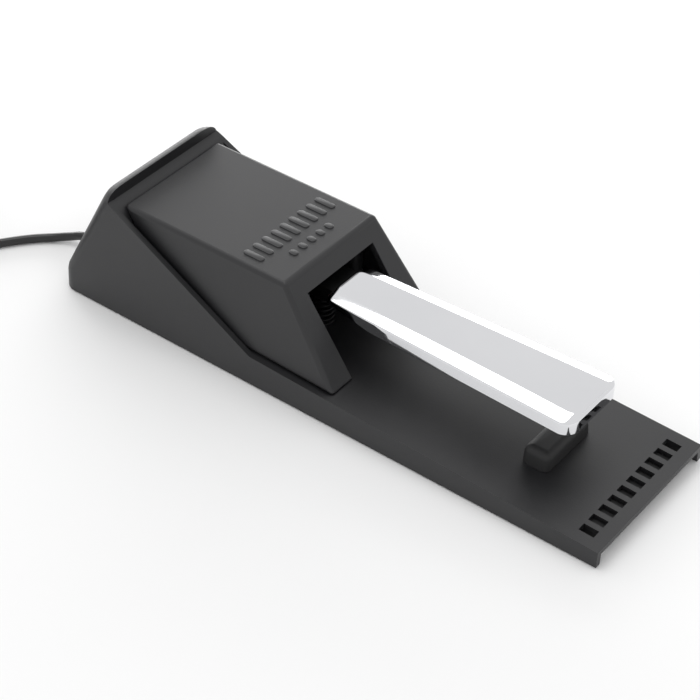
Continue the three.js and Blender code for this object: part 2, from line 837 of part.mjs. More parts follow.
add("switch_bracket", switchBracket(), zincSteel);
const throughLong = switchWide + bracketSheet + 3 * clear;
screwYs.forEach((y, i) => {
  const place = [-halfSwitch - clear, y, screwLine];
  const name = ["switch_screw_front", "switch_screw_rear"][i];
  add(name, screw(place, [1, 0, 0], throughLong, 2, 1.1), zincSteel);
});
const bracketScrewFrom = [bracketFootX, switchY - 4.5, footTop + clear];
add("bracket_screw", screw(bracketScrewFrom, [0, 0, -1], bracketSheet, 2, 1.1), zincSteel);

// ---------- inside wiring ----------
const innerCordFrom = clampY - 6;
const innerCordTo = back - caseWall - 1.6 - 2 * clear;
add(
  "cord_inner",
  rod([glandX, innerCordFrom, glandHeight], [glandX, innerCordTo, glandHeight], cordRadius, 12),
  cordBlack,
);
for (const [name, side, material] of [
  ["wire_common", -1, wireRed],
  ["wire_contact", 1, wireWhite],
]) {
  const x = side * 1.2;
  const start = terminalFrom + 4 + clear;
  const points = [
    [side * 1.7, start, terminalZ],
    [side * 1.6, start + 8, terminalZ],
    [x, ridgeFootY - 2, wireHoleZ],
    [x, ridgeFootY + 12, wireHoleZ],
    [glandX / 2 + x, (ridgeFootY + innerCordFrom) / 2 + 4, (wireHoleZ + glandHeight) / 2 + 2],
    [glandX + side * 0.8, innerCordFrom - 8, glandHeight + 0.5],
    [glandX + side * 0.8, innerCordFrom - clear, glandHeight],
  ];
  add(name, tube(points, 0.55, 6, 28), material);
}

const clampTop = glandHeight - cordRadius - clear;
const clampThick = 1.4;

function cordClamp() {
  const reach = clampReach + 3.2;
  const low = [glandX - reach, clampY - 3, clampTop - clampThick];
  const bar = box(low, [glandX + reach, clampY + 3, clampTop]);
  const holes = [-1, 1].map((side) => {
    const x = glandX + side * clampReach;
    return rod([x, clampY, 0], [x, clampY, clampTop + 1], screwShank + clear, 12);
  });
  return cut(bar, ...holes);
}

add("cord_clamp", cordClamp(), blackPlastic);
[-1, 1].forEach((side) => {
  const place = [glandX + side * clampReach, clampY, clampTop - clampThick - clear];
  const name = side < 0 ? "clamp_screw_left" : "clamp_screw_right";
  add(name, screw(place, [0, 0, 1], 8, 2, 1.1), zincSteel);
});

// ---------- underside ----------
function bottomPlate() {
  const plate = box([-plateHalf, plateFront, plateLift], [plateHalf, plateBack, plateTop]);
  const holes = screwPlaces.map(([x, y]) =>
    rod([x, y, 0], [x, y, plateTop + 1], screwShank + clear, 12),
  );
  const reach = clampReach + 4.5;
  const notch = box([glandX - reach, clampY - 5, 0], [glandX + reach, back, plateTop + 1]);
  return cut(plate, notch, ...holes);
}

add("bottom_plate", bottomPlate(), blackSteel);
screwPlaces.forEach(([x, y], i) => {
  const shank = Math.min(trayTop(y) - 1.2, plateTop + 8) - plateLift;
  add("base_screw_" + (i + 1), screw([x, y, plateLift - clear], [0, 0, 1], shank, 2.6, 1.2), zincSteel);
});
postPlaces.forEach(([x, y], i) => {
  const seat = trayTop(y - 3) - trayThick - 2 * clear;
  add("cover_screw_" + (i + 1), screw([x, y, seat], [0, 0, 1], 12, 2.5, 1.4), zincSteel);
});

function frontFoot() {
  const from = front + 3.5;
  const to = front + 15.5;
  const lid = (y) => trayTop(y) - trayThick - clear;
  const outline = [
    [from, 0],
    [from, lid(from)],
    [to, lid(to)],
    [to, 0],
  ];
  return sideways(outline, frontPadHalf);
}

add("foot_front", frontFoot(), rubber);
const padRows = [
  ["mid", baseScrews[1] + 16],
  ["rear", baseScrews[2] - 18],
];
for (const [row, y] of padRows) {
  for (const [side, hand] of [
    [-1, "left"],
    [1, "right"],
  ]) {
    const x = side * (plateHalf - padSide / 2 - 1);
    const low = [x - padSide / 2, y - padSide / 2, 0];
    add("foot_" + row + "_" + hand, box(low, [x + padSide / 2, y + padSide / 2, padThick]), rubber);
  }
}

// ---------- lead ----------
const glandProfile = [
  [0, 0],
  [glandFlange, 0],
  [glandFlange, 1.6],
  [glandNeck, 1.6],
  [glandNeck, caseWall + 1.6 + 2 * clear],
  [4.3, caseWall + 1.6 + 2 * clear],
  [4.3, caseWall + 3.2 + 2 * clear],
  [3.4, caseWall + 3.6 + 2 * clear],
  [cordRadius + 0.5, caseWall + 3.2 + bootLong],
  [0, caseWall + 3.2 + bootLong],
];
const glandFrom = back - caseWall - clear - 1.6;
add("cord_gland", turned(glandProfile, [glandX, glandFrom, glandHeight], [0, 1, 0], 24), rubber);
const bootEnd = glandFrom + caseWall + 3.2 + bootLong;

const floorZ = cordRadius + 0.05;
const cordRoute = [
  [glandX, bootEnd + clear, glandHeight],
  [glandX, bootEnd + 3.2, glandHeight - 0.2],
  [glandX - 0.7, bootEnd + 6.8, glandHeight - 2],
  [-14.4, bootEnd + 11, floorZ + 0.9],
  [-17.6, 160, floorZ],
  [-22.4, 165.2, floorZ],
  [-28.2, 170.2, floorZ],
  [-35.2, 175.4, floorZ],
  [-43.5, 180, floorZ + 0.2],
  [-51.9, 185, floorZ + 0.5],
  [-58.5, 189.6, floorZ + 0.75],
];
add("cord_run", tube(cordRoute, cordRadius, 8, 26), cordBlack);

const coilOut = coilMiddle + ((coilColumns - 1) / 2) * turnPitch + cordRadius + 0.1;
const coilIn = coilMiddle - ((coilColumns - 1) / 2) * turnPitch - cordRadius - 0.1;
const coilLow = tieThick + clear;
const coilHigh = coilLow + 0.1 + 2 * cordRadius + (coilRows - 1) * turnPitch;
const coilProfile = [
  [coilIn, coilLow],
  [coilOut, coilLow],
  [coilOut, coilHigh],
  [coilIn, coilHigh],
  [coilIn, coilLow],
];
add("cord_coil", turned(coilProfile, [...coilCentre, 0], [0, 0, 1], 36), cordBlack);

// A strap that goes once round the bundle of turns.
function cordTie() {
  const wide = 10;
  const bow = 0.9; // the turns curve away from the flat strap by this much
  const reachIn = coilIn - bow - clear - tieThick;
  const reachOut = coilOut + clear + 2 * tieThick;
  const high = coilHigh + clear + tieThick;
  const strap = box([reachIn, -wide / 2, 0], [reachOut, wide / 2, high]);
  const low = [coilIn - bow - clear, -wide, tieThick];
  const room = box(low, [coilOut + clear + tieThick, wide, coilHigh + clear]);
  return cut(strap, room).rotate([0, 0, tieAngle]).translate([...coilCentre, 0]);
}

const tieAngle = 80;
add("cord_tie", cordTie(), rubber);

// The last stretch lies on top of the coil and turns in, and the plug lies across the coil.
const tailZ = coilHigh + clear + cordRadius;
const plugZ = coilHigh + clear + plugRadius;
const tailRoute = [
  [16.3, -16.3, tailZ],
  [9.7, -20.9, tailZ],
  [2, -22.9, tailZ + 0.3],
  [-4, -22.6, tailZ + 1],
  [-8.8, -20.6, tailZ + 1.9],
  [-12.3, -16.8, tailZ + 2.8],
  [-13.9, -10.8, plugZ],
].map(([x, y, z]) => [coilCentre[0] + x, coilCentre[1] + y, z]);
add("cord_tail", tube(tailRoute, cordRadius, 8, 12), cordBlack);

// The plug points to +Y.
const plugFrom = [tailRoute.at(-1)[0], tailRoute.at(-1)[1] + 0.6, plugZ];
const shaftFrom = 36;
const plugPieces = {
  plug_boot: [
    [0, 0],
    [cordRadius + 0.5, 0],
    [plugRadius - 1.6, 12],
    [0, 12],
  ],
  plug_barrel: [
    [0, 12 + clear],
    [plugRadius - 0.8, 12 + clear],
    [plugRadius, 13.5],
    [plugRadius, shaftFrom - 1],
    [plugRadius - 0.8, shaftFrom - clear],
    [0, shaftFrom - clear],
  ],
  plug_sleeve: [
    [0, shaftFrom],
    [plugShaft, shaftFrom],
    [plugShaft, shaftFrom + 22],
    [0, shaftFrom + 22],
  ],
  plug_ring: [
    [0, shaftFrom + 22 + clear],
    [plugShaft - 0.1, shaftFrom + 22 + clear],
    [plugShaft - 0.1, shaftFrom + 23.4],
    [0, shaftFrom + 23.4],
  ],
  plug_tip: [
    [0, shaftFrom + 23.4 + clear],
    [2.5, shaftFrom + 23.4 + clear],
    [2.1, shaftFrom + 25],
    [3.05, shaftFrom + 27],
    [2.9, shaftFrom + 28.4],
    [0, shaftFrom + 30.8],
  ],
};
const plugFinishes = {
  plug_boot: cordBlack,
  plug_barrel: cordBlack,
  plug_sleeve: nickel,
  plug_ring: cordBlack,
  plug_tip: nickel,
};
for (const [name, profile] of Object.entries(plugPieces)) {
  add(name, turned(profile, plugFrom, [0, 1, 0], 20), plugFinishes[name]);
}

export default pedal;
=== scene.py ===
import math
import bmesh
import bpy
import numpy as np
from mathutils import Matrix, Vector


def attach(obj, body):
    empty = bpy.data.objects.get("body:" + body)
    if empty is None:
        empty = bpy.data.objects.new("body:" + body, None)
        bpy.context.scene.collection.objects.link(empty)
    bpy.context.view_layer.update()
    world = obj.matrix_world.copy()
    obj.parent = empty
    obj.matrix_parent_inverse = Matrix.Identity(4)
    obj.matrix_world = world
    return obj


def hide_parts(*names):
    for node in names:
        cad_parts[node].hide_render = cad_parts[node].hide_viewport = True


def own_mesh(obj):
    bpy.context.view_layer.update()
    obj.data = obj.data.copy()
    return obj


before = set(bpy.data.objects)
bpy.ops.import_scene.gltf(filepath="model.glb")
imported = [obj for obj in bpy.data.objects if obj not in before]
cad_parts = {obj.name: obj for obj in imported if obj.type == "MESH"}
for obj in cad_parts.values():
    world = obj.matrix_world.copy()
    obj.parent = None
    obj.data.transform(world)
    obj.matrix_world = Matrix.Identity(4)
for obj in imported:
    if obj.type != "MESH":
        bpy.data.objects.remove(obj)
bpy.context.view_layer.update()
for spare in ("Cube", "Light", "Camera"):  # what a new file holds
    if spare in bpy.data.objects:
        bpy.data.objects.remove(bpy.data.objects[spare])
mm = 0.001

cameraPlace = {
    "position": (-0.5053, -0.3809, 0.5430),
    "target": (0.00493, 0.01199, 0.0),
    "roll": 0.51,  # degrees, to the left
    "lens": 105.08,
    "sensor": 36,
}


# The camera looks along the line from its position to its target, then rolls about that line.
def addCamera(spec):
    data = bpy.data.cameras.new("camera")
    data.lens = spec["lens"]
    data.sensor_width = spec["sensor"]
    camera = bpy.data.objects.new("camera", data)
    bpy.context.collection.objects.link(camera)
    look = Vector(spec["target"]) - Vector(spec["position"])
    turn = look.to_track_quat("-Z", "Y").to_matrix().to_4x4()
    turn = turn @ Matrix.Rotation(math.radians(spec["roll"]), 4, "Z")
    camera.matrix_world = Matrix.Translation(spec["position"]) @ turn
    bpy.context.scene.camera = camera


addCamera(cameraPlace)
print("camera placed")


# An sRGB hex colour as linear red, green, blue and alpha: each part is divided by 12.92 where it is
# dark, and elsewhere 0.055 is added, it is divided by 1.055 and raised to the power 2.4.
def toLinear(hexColour):
    parts = np.array([int(hexColour[i : i + 2], 16) for i in (1, 3, 5)]) / 255
    linear = np.where(parts <= 0.04045, parts / 12.92, ((parts + 0.055) / 1.055) ** 2.4)
    return (*linear.tolist(), 1.0)


# Adds a node; settings are its own properties, inputs are values or sockets to link. An input is
# given by its name with _ for each space, or by _ and its number.
def addNode(tree, kind, settings=None, **inputs):
    node = tree.nodes.new(kind)
    for key, value in (settings or {}).items():
        setattr(node, key, value)
    for key, value in inputs.items():
        socket = node.inputs[int(key[1:]) if key[0] == "_" else key.replace("_", " ")]
        if isinstance(value, bpy.types.NodeSocket):
            tree.links.new(value, socket)
        else:
            socket.default_value = value
    return node


# A smooth piece from vertices in millimetres and faces, merged and turned outwards.
def meshPiece(name, vertices, faces):
    mesh = bpy.data.meshes.new(name)
    mesh.from_pydata((np.asarray(vertices, float) * mm).tolist(), [], [list(f) for f in faces])
    mesh.update()
    piece = bpy.data.objects.new(name, mesh)
    bpy.context.collection.objects.link(piece)
    tidyMesh(mesh)
    mesh.shade_smooth()
    return piece


doubleGap = 2e-6  # metres; points closer than this are one point


# Merges doubles, then turns every face outwards.
def tidyMesh(mesh):
    work = bmesh.new()
    work.from_mesh(mesh)
    bmesh.ops.remove_doubles(work, verts=work.verts, dist=doubleGap)
    bmesh.ops.dissolve_degenerate(work, edges=work.edges, dist=doubleGap)
    bmesh.ops.recalc_face_normals(work, faces=work.faces)
    work.to_mesh(mesh)
    work.free()


# Edges that turn by more than the angle stay crisp.
def sharpen(piece, degrees=35):
    work = bmesh.new()
    work.from_mesh(piece.data)
    for edge in work.edges:
        turn = edge.calc_face_angle(0)
        edge.smooth = turn < math.radians(degrees)
    work.to_mesh(piece.data)
    work.free()


# Quads between neighbouring rows of a grid of points, whose last column joins the first.
def gridFaces(rows, columns):
    i, j = np.meshgrid(np.arange(rows - 1), np.arange(columns), indexing="ij")
    k = (j + 1) % columns
    here, above = i * columns, (i + 1) * columns
    quads = np.stack([here + j, here + k, above + k, above + j], axis=-1)
    return quads.reshape(-1, 4).tolist()


# A closed skin through rings of points; the first and last ring are closed with a flat face.
def ringsPiece(name, rings):
    rings = np.asarray(rings, float)
    rows, columns = rings.shape[:2]
    faces = gridFaces(rows, columns)
    faces.append(list(range(columns)))
    faces.append(list(range((rows - 1) * columns, rows * columns)))
    return meshPiece(name, rings.reshape(-1, 3), faces)


# Circles across a path: each point plus radius times (cos t * side + sin t * up), where side is
# level and up is square to both side and the path.
def tubeRings(path, radius, sides):
    along = np.gradient(path, axis=0)
    along /= np.linalg.norm(along, axis=1)[:, None]
    side = np.cross(along, [0, 0, 1.0])
    side /= np.linalg.norm(side, axis=1)[:, None]
    up = np.cross(side, along)
    turn = np.linspace(0, 2 * np.pi, sides, endpoint=False)
    radius = np.broadcast_to(radius, len(path))[:, None, None]
    circle = np.cos(turn)[None, :, None] * side[:, None] + np.sin(turn)[None, :, None] * up[:, None]
    return path[:, None] + radius * circle


# A turned piece: each (distance, radius) of the profile becomes a circle of that radius at
# origin + distance * axis, and the circles are joined.
def turnedPiece(name, profile, origin, axis, sides=48):
    profile = np.asarray(profile, float)
    along = np.asarray(axis, float) / np.linalg.norm(axis)
    helper = np.array([0, 0, 1.0]) if abs(along[2]) < 0.9 else np.array([0, 1.0, 0])
    side = np.cross(along, helper)
    side /= np.linalg.norm(side)
    up = np.cross(side, along)
    turn = np.linspace(0, 2 * np.pi, sides, endpoint=False)
    circle = np.cos(turn)[:, None] * side + np.sin(turn)[:, None] * up
    radius = profile[:, 1][:, None, None]
    rings = np.asarray(origin, float) + profile[:, :1, None] * along + radius * circle[None]
    return ringsPiece(name, rings)


# Rounds a closed outline's corners: rows are (a, b, radius). An arc's centre lies on the line that
# halves the corner, at radius / sin(half the corner), and it starts and ends radius / tan(half)
# from the corner.
def fillet(corners, steps):
    out = []
    for i, (a, b, radius) in enumerate(corners):
        corner = np.array([a, b], float)
        before = np.array(corners[i - 1][:2], float) - corner
        after = np.array(corners[(i + 1) % len(corners)][:2], float) - corner
        before /= np.linalg.norm(before)
        after /= np.linalg.norm(after)
        half = math.acos(float(np.clip(before @ after, -1, 1))) / 2
        middle = (before + after) / np.linalg.norm(before + after)
        centre = corner + middle * radius / math.sin(half)
        start = corner + before * radius / math.tan(half) - centre
        end = corner + after * radius / math.tan(half) - centre
        sweep = math.atan2(start[0] * end[1] - start[1] * end[0], float(start @ end))
        turn = np.linspace(0, sweep, steps + 1)
        x = centre[0] + np.cos(turn) * start[0] - np.sin(turn) * start[1]
        y = centre[1] + np.sin(turn) * start[0] + np.cos(turn) * start[1]
        out += list(zip(x, y))
    return np.array(out)


# A Catmull-Rom curve through the points, with that many samples a stretch: between b and c it is
# a cubic in t whose slope at each end is half the step between that point's neighbours.
def smoothPath(points, steps):
    points = np.asarray(points, float)
    p = np.vstack([2 * points[0] - points[1], points, 2 * points[-1] - points[-2]])
    t = np.linspace(0, 1, steps, endpoint=False)[None, :, None]
    a, b, c, d = (p[i : len(p) - 3 + i][:, None] for i in range(4))
    square = (2 * a - 5 * b + 4 * c - d) * t**2
    cube = (3 * b - a - 3 * c + d) * t**3
    curve = 0.5 * (2 * b + (c - a) * t + square + cube)
    return np.vstack([curve.reshape(-1, 3), points[-1:]])


# The same path with its points that far apart, by distance run along it.
def evenly(path, step):
    run = np.concatenate([[0], np.cumsum(np.linalg.norm(np.diff(path, axis=0), axis=1))])
    at = np.linspace(0, run[-1], int(run[-1] / step) + 1)
    return np.stack([np.interp(at, run, path[:, k]) for k in range(3)], axis=1)


# Rounds small kinks: each point becomes the mean of its neighbours, and the ends stay.
def eased(path, width):
    padded = np.vstack([np.repeat(path[:1], width, 0), path, np.repeat(path[-1:], width, 0)])
    size = 2 * width + 1
    sums = np.cumsum(np.vstack([np.zeros((1, 3)), padded]), axis=0)
    out = (sums[size:] - sums[:-size]) / size
    out[0], out[-1] = path[0], path[-1]
    return out


lead = {
    "radius": 1.9,
    "centre": (-55.4, 221.1),
    "middle": 21.75,  # radius at the middle of the turns
    "pitch": 3.9,  # between neighbouring turns
    "columns": 4,
    "rows": 4,
    "low": 2.7,  # height of the lowest turns' centre
    "shift": 50,  # degrees a turn takes to move to its next place
    "joins": -125,  # degrees, where the lead runs into the coil
    "turnStep": 2.5,  # degrees between the coil's points
    "runOn": 3,  # degrees past the last turn
    "tailRadius": 23.0,
    "tailHeight": 18.6,
    "clear": 0.05,  # under the lead where it lies on the floor
    "samples": 6,  # between two points of the route
    "spacing": (1.2, 2.4),  # of the path's points before and after it is eased
    "sides": 14,
}


# Turns of a coil: the angle falls steadily, and radius and height step from place to place, to
# and fro across each layer, each step an S-curve over the shift angle.
def coilPath(spec):
    places = []
    for row in range(spec["rows"]):
        order = range(spec["columns"] - 1, -1, -1) if row % 2 == 0 else range(spec["columns"])
        for column in order:
            offset = (column - (spec["columns"] - 1) / 2) * spec["pitch"]
            places.append((spec["middle"] + offset, spec["low"] + row * spec["pitch"]))
    places.append((spec["tailRadius"], spec["tailHeight"]))
    places = np.array(places)
    period = 360 - spec["shift"]
    total = period * (len(places) - 1) + spec["runOn"]
    angle = np.arange(0, total, spec["turnStep"])
    index = np.minimum((angle // period).astype(int), len(places) - 2)
    into = np.clip((angle - index * period - (period - spec["shift"])) / spec["shift"], 0, 1)
    ease = into * into * (3 - 2 * into)
    spot = places[index] * (1 - ease)[:, None] + places[index + 1] * ease[:, None]
    turn = np.radians(spec["joins"] - angle)
    x = spec["centre"][0] + spot[:, 0] * np.cos(turn)
    y = spec["centre"][1] + spot[:, 0] * np.sin(turn)
    return np.stack([x, y, spot[:, 1]], axis=1)


# The whole lead: out of the bush, down to the floor and along it, then the coil, then up and over
# its inside to the plug, joined end to end and sampled evenly.
def leadPath(spec):
    floor = spec["radius"] + spec["clear"]
    run = smoothPath([
        (-12, 144.3, 6), (-12, 147.3, 5.8), (-12.7, 150.9, 4), (-14.4, 155.1, floor + 0.9),
        (-17.6, 160, floor), (-22.4, 165.2, floor), (-28.2, 170.2, floor), (-35.2, 175.4, floor),
        (-43.5, 180, floor + 0.2), (-51.9, 185, floor + 0.5), (-58.5, 189.6, floor + 0.75),
        (-65, 194.15, spec["low"]), (-71.2, 198.5, spec["low"]),
    ], spec["samples"])
    coil = coilPath(spec)
    centre = np.array([*spec["centre"], 0])
    tail = smoothPath(centre + np.array([
        (16.3, -16.3, spec["tailHeight"]), (9.7, -20.9, spec["tailHeight"]), (2, -22.9, 18.9),
        (-4, -22.6, 19.6), (-8.8, -20.6, 20.5), (-12.3, -16.8, 21.4), (-13.9, -10.8, 22.1),
        (-13.9, -8, 22.1),
    ]), spec["samples"])
    first, last = spec["spacing"]
    path = evenly(np.vstack([run[:-1], coil, tail[1:]]), first)
    return evenly(eased(path, 2), last)


cordPath = leadPath(lead)
cordPiece = ringsPiece("pvcCord", tubeRings(cordPath, lead["radius"], lead["sides"]))
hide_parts("cord_run", "cord_coil", "cord_tail")
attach(cordPiece, "base")


# A material from what its surface is: colour drifts over cloudMm between two shades, roughness
# follows it, and a grain of grainMm stands grainHigh mm proud.
def surfaceMaterial(name, look):
    material = bpy.data.materials.new(name)
    material.use_nodes = True
    tree = material.node_tree
    tree.nodes.clear()
    point = addNode(tree, "ShaderNodeTexCoord").outputs["Object"]
    cloud = addNode(
        tree, "ShaderNodeTexNoise", Vector=point, Scale=1 / (look["cloudMm"] * mm), Detail=4, Roughness=0.6
    ).outputs[0]
    grain = addNode(
        tree, "ShaderNodeTexNoise", Vector=point, Scale=1 / (look["grainMm"] * mm), Detail=2, Roughness=0.5
    ).outputs[0]
    colour = addNode(
        tree, "ShaderNodeMix", {"data_type": "RGBA"},
        _0=cloud, _6=toLinear(look["dark"]), _7=toLinear(look["light"]),
    ).outputs[2]
    rough = addNode(
        tree, "ShaderNodeMapRange", Value=cloud, From_Min=0.3, From_Max=0.7,
        To_Min=look["rough"][0], To_Max=look["rough"][1],
    ).outputs[0]
    bump = addNode(
        tree, "ShaderNodeBump", Height=grain,
        Strength=look["grainShows"], Distance=look["grainHigh"] * mm,
    ).outputs[0]
    shader = addNode(
        tree, "ShaderNodeBsdfPrincipled", Base_Color=colour, Roughness=rough, Normal=bump,
        Metallic=look.get("metallic", 0.0), IOR=look.get("ior", 1.5),
        Sheen_Weight=look.get("sheen", 0.0),
    )
    addNode(tree, "ShaderNodeOutputMaterial", Surface=shader.outputs[0])
    return material


# Black ABS moulded in a spark-eroded tool: matt, with a fine even grain drawn at 0.7 mm so it shows
mouldedAbs = surfaceMaterial("mouldedBlackAbs", {
    "dark": "#19191b", "light": "#1f1f21", "cloudMm": 40, "grainMm": 0.7, "grainHigh": 0.05,
    "grainShows": 0.5, "rough": (0.4, 0.48), "ior": 1.53,
})
# The same ABS on the case's rounded edges: a little glossier, and paler as a painted highlight along them
edgeHighlightAbs = surfaceMaterial("rubbedBlackAbs", {
    "dark": "#3c3c3e", "light": "#48484a", "cloudMm": 9, "grainMm": 0.9, "grainHigh": 0.02,
    "grainShows": 0.3, "rough": (0.26, 0.36), "ior": 1.53,
})
# Steel pressing, nickel and chrome plated and polished: a mirror with the faintest waviness
polishedChrome = surfaceMaterial("polishedChromePlate", {
    "dark": "#dedfe2", "light": "#ececee", "cloudMm": 60, "grainMm": 45, "grainHigh": 0.03,
    "grainShows": 0.3, "rough": (0.04, 0.07), "metallic": 1.0,
})
# Nitrile rubber, compression moulded: near black, dull, slightly uneven
mouldedRubber = surfaceMaterial("mouldedNitrileRubber", {
    "dark": "#161617", "light": "#1e1e1f", "cloudMm": 12, "grainMm": 0.6, "grainHigh": 0.04,
    "grainShows": 0.4, "rough": (0.55, 0.68), "ior": 1.52,
})
# Bright zinc on turned or drawn steel: a soft grey shine, slightly uneven
zincSteel = surfaceMaterial("zincPlatedSteel", {
    "dark": "#a9abae", "light": "#c4c6c8", "cloudMm": 6, "grainMm": 0.5, "grainHigh": 0.02,
    "grainShows": 0.3, "rough": (0.24, 0.36), "metallic": 1.0,
})
# Black oxide on pressed steel: dark satin, faintly mottled
blackedSteel = surfaceMaterial("blackOxideSteel", {
    "dark": "#0d0d0e", "light": "#151516", "cloudMm": 9, "grainMm": 0.8, "grainHigh": 0.02,
    "grainShows": 0.3, "rough": (0.34, 0.46), "metallic": 0.5,
})
# Polyester powder coat on the bottom plate: orange-peel skin about 1.5 mm across
coatedSteel = surfaceMaterial("powderCoatedSteel", {
    "dark": "#1b1b1d", "light": "#222225", "cloudMm": 30, "grainMm": 1.5, "grainHigh": 0.06,
    "grainShows": 0.5, "rough": (0.4, 0.5), "ior": 1.5,
})
# Natural nylon, injection moulded: milky, waxy and a little yellow
naturalNylon = surfaceMaterial("naturalNylon", {
    "dark": "#d8d2c0", "light": "#e8e3d6", "cloudMm": 5, "grainMm": 0.6, "grainHigh": 0.02,
    "grainShows": 0.2, "rough": (0.4, 0.5), "ior": 1.53,
})
# Glass-filled phenolic of the switch and the plug's barrel: hard, dark and half glossy
phenolic = surfaceMaterial("mouldedPhenolic", {
    "dark": "#1a1a1c", "light": "#242427", "cloudMm": 4, "grainMm": 0.5, "grainHigh": 0.02,
    "grainShows": 0.3, "rough": (0.25, 0.35), "ior": 1.6,
})
# Pressed wool felt: matt, rough and a little fuzzy at its edges
pressedFelt = surfaceMaterial("pressedWoolFelt", {
    "dark": "#4a2022", "light": "#6b3335", "cloudMm": 2, "grainMm": 0.4, "grainHigh": 0.15,
    "grainShows": 0.9, "rough": (0.9, 1.0), "sheen": 0.5,
})
# Plasticised PVC, extruded over the lead: black satin with a faint grain
extrudedPvc = surfaceMaterial("extrudedBlackPvc", {
    "dark": "#09090a", "light": "#101011", "cloudMm": 15, "grainMm": 0.9, "grainHigh": 0.03,
    "grainShows": 0.3, "rough": (0.26, 0.34), "ior": 1.53,
})
# Nickel plate on turned brass: warm bright metal
nickelPlate = surfaceMaterial("nickelPlatedBrass", {
    "dark": "#c6c0b0", "light": "#d8d3c6", "cloudMm": 8, "grainMm": 0.4, "grainHigh": 0.01,
    "grainShows": 0.2, "rough": (0.14, 0.22), "metallic": 1.0,
})
# Thin PVC on the two wires, red and white
redPvc = surfaceMaterial("extrudedRedPvc", {
    "dark": "#90231c", "light": "#ab2e25", "cloudMm": 5, "grainMm": 0.5, "grainHigh": 0.02,
    "grainShows": 0.2, "rough": (0.35, 0.45),
})
whitePvc = surfaceMaterial("extrudedWhitePvc", {
    "dark": "#d2cfc8", "light": "#e4e2dc", "cloudMm": 5, "grainMm": 0.5, "grainHigh": 0.02,
    "grainShows": 0.2, "rough": (0.35, 0.45),
})
print("materials ready")


# Gives a piece its one material, its body and the nodes it stands for; its record slot is not used.
def place(piece, material, body, slot, *nodes):
    piece.data.materials.clear()
    piece.data.materials.append(material)
    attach(piece, body)
    if nodes:
        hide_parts(*nodes)


# A CAD node that shows as it is takes a better material.
def dress(material, *names):
    for name in names:
        data = bpy.data.objects[name].data
        data.materials.clear()
        data.materials.append(material)


cordPiece.data.materials.append(extrudedPvc)


copyWork = {
    "flat": 0.012,  # radians; faces that turn by less are one face
    "crisp": 28,  # degrees; edges that turn by more stay crisp
    "segments": 3,
    "areaShare": 80,  # how far large faces lead the shading
}


# The moulded case and its cover: the node's faces, merged, with a small round on the edges that
# show. Edges are picked by the place of both their ends.
def mouldedCopy(name, node, radius, shows):
    mesh = bpy.data.objects[node].data.copy()
    mesh.name = name
    work = bmesh.new()
    work.from_mesh(mesh)
    bmesh.ops.remove_doubles(work, verts=work.verts, dist=doubleGap)
    bmesh.ops.dissolve_limit(work, angle_limit=copyWork["flat"], verts=work.verts, edges=work.edges)
    for face in work.faces:
        face.smooth = True
    for edge in work.edges:
        edge.smooth = edge.calc_face_angle(0) < math.radians(copyWork["crisp"])
    work.to_mesh(mesh)
    work.free()
    piece = bpy.data.objects.new(name, mesh)
    bpy.context.collection.objects.link(piece)
    points = np.empty(len(mesh.vertices) * 3)
    mesh.vertices.foreach_get("co", points)
    ends = np.empty(len(mesh.edges) * 2, int)
    mesh.edges.foreach_get("vertices", ends)
    crisp = np.empty(len(mesh.edges), bool)
    mesh.edges.foreach_get("use_edge_sharp", crisp)
    corners = points.reshape(-1, 3)[ends.reshape(-1, 2)] / mm
    weight = shows(corners[:, 0], corners[:, 1]) * crisp
    weights = mesh.attributes.new("bevel_weight_edge", "FLOAT", "EDGE")
    weights.data.foreach_set("value", weight.astype(np.float32))
    bevel = piece.modifiers.new("edge round", "BEVEL")
    bevel.limit_method = "WEIGHT"
    bevel.width = radius * mm
    bevel.segments = copyWork["segments"]
    bevel.use_clamp_overlap = True
    even = piece.modifiers.new("even shading", "WEIGHTED_NORMAL")
    even.keep_sharp = True
    even.weight = copyWork["areaShare"]
    return piece


caseShape = {
    "edge": 0.4,
    "halfAtFloor": 37.5,
    "lean": 0.065,  # each side leans in by this much per mm of height
    "rim": 2.4,
    "front": -135,
    "trayFront": 7.8,
    "traySlope": 0.0373,
    "rimNear": 0.6,  # how far inside the rim an edge still counts as its own
    "sideFrom": 0.3,  # height above which the side edges show
    "ridge": (104, 53),  # the ridge lies behind and above this
    "slotsEnd": -121,
    "trayNear": 0.3,  # how far under the tray's level an edge still counts as its own
}
hidden = -9  # outweighs a shown end, so an edge with one hidden end stays crisp


# Both ends of an edge have to lie on the rims and sides, the ridge, or the front with its slots.
def caseEdges(a, b):
    weight = np.zeros(len(a))
    for k in (a, b):
        half = caseShape["halfAtFloor"] - caseShape["lean"] * k[:, 2]
        tray = caseShape["trayFront"] + caseShape["traySlope"] * (k[:, 1] - caseShape["front"])
        inner = half - caseShape["rim"] - caseShape["rimNear"]
        side = (np.abs(k[:, 0]) > inner) & (k[:, 2] > caseShape["sideFrom"])
        ridge = (k[:, 2] > caseShape["ridge"][1]) & (k[:, 1] > caseShape["ridge"][0])
        slots = (k[:, 1] < caseShape["slotsEnd"]) & (k[:, 2] > tray - caseShape["trayNear"])
        weight += np.where(ridge | side | slots, 1.0, hidden)
    return np.clip(weight / 2, 0, 1)


casePiece = mouldedCopy("mouldedCase", "lower_case", caseShape["edge"], caseEdges)
place(casePiece, mouldedAbs, "base", "body", "lower_case")
# The case's rounds take the paler ABS: a painted highlight along its edges
casePiece.data.materials.append(edgeHighlightAbs)
casePiece.modifiers["edge round"].material = 1

